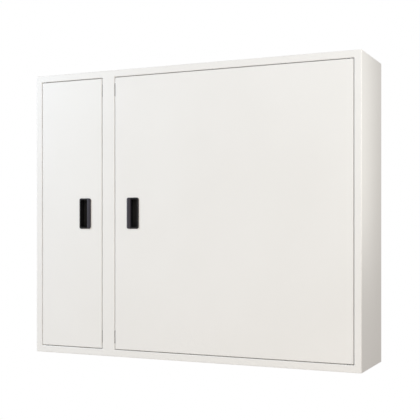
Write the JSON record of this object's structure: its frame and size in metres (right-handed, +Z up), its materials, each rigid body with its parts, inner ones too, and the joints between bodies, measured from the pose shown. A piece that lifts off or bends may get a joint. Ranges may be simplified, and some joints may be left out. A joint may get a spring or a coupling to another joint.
{
  "type": "fire hose reel cabinet",
  "caption": "Shallow wall cabinet of folded white steel: wide door for a hose reel, narrow door for an extinguisher, flush in one frame, black recessed handles.",
  "frame": {"origin": "middle of the flat back that lies on the wall", "axes": "+X to the right as one faces the doors, +Y back into the wall, +Z up"},
  "size_m": [0.855, 0.1882, 0.71],
  "materials": {
    "body_paint": "semi-gloss powder coat with fine orange peel",
    "door_paint": "semi-gloss powder coat with fine orange peel",
    "handle_plastic": "glossy moulded black",
    "catch_plastic": "matt black",
    "buffer_rubber": "matt black",
    "zinc_steel": "zinc plated"
  },
  "bodies": {
    "cabinet": {"left_wall": "body_paint", "right_wall": "body_paint", "top_wall": "body_paint", "bottom_wall": "body_paint", "back_panel": "body_paint", "centre_post": "body_paint", "partition": "body_paint", "reel_bracket": "body_paint", "reel_catch_upper": "catch_plastic", "reel_catch_lower": "catch_plastic", "narrow_catch_upper": "catch_plastic", "narrow_catch_lower": "catch_plastic", "reel_buffers": "buffer_rubber", "narrow_buffers": "buffer_rubber", "reel_pin_upper": "zinc_steel", "reel_pin_lower": "zinc_steel", "narrow_pin_upper": "zinc_steel", "narrow_pin_lower": "zinc_steel"},
    "reel_door": {"reel_door_pan": "door_paint", "reel_door_stiffener": "door_paint", "reel_hinge_plate_upper": "door_paint", "reel_hinge_plate_lower": "door_paint", "reel_handle_recess": "handle_plastic", "reel_handle_grip": "handle_plastic"},
    "narrow_door": {"narrow_door_pan": "door_paint", "narrow_hinge_plate_upper": "door_paint", "narrow_hinge_plate_lower": "door_paint", "narrow_handle_recess": "handle_plastic", "narrow_handle_grip": "handle_plastic"}
  },
  "joints": [
    {"name": "reel_door_hinge", "type": "hinge", "parent": "cabinet", "child": "reel_door", "pos_m": [0.397, -0.1795, 0], "axis": [0, 0, 1], "range_deg": [0, 115]},
    {"name": "narrow_door_hinge", "type": "hinge", "parent": "cabinet", "child": "narrow_door", "pos_m": [-0.397, -0.1795, 0], "axis": [0, 0, -1], "range_deg": [0, 115]}
  ]
}
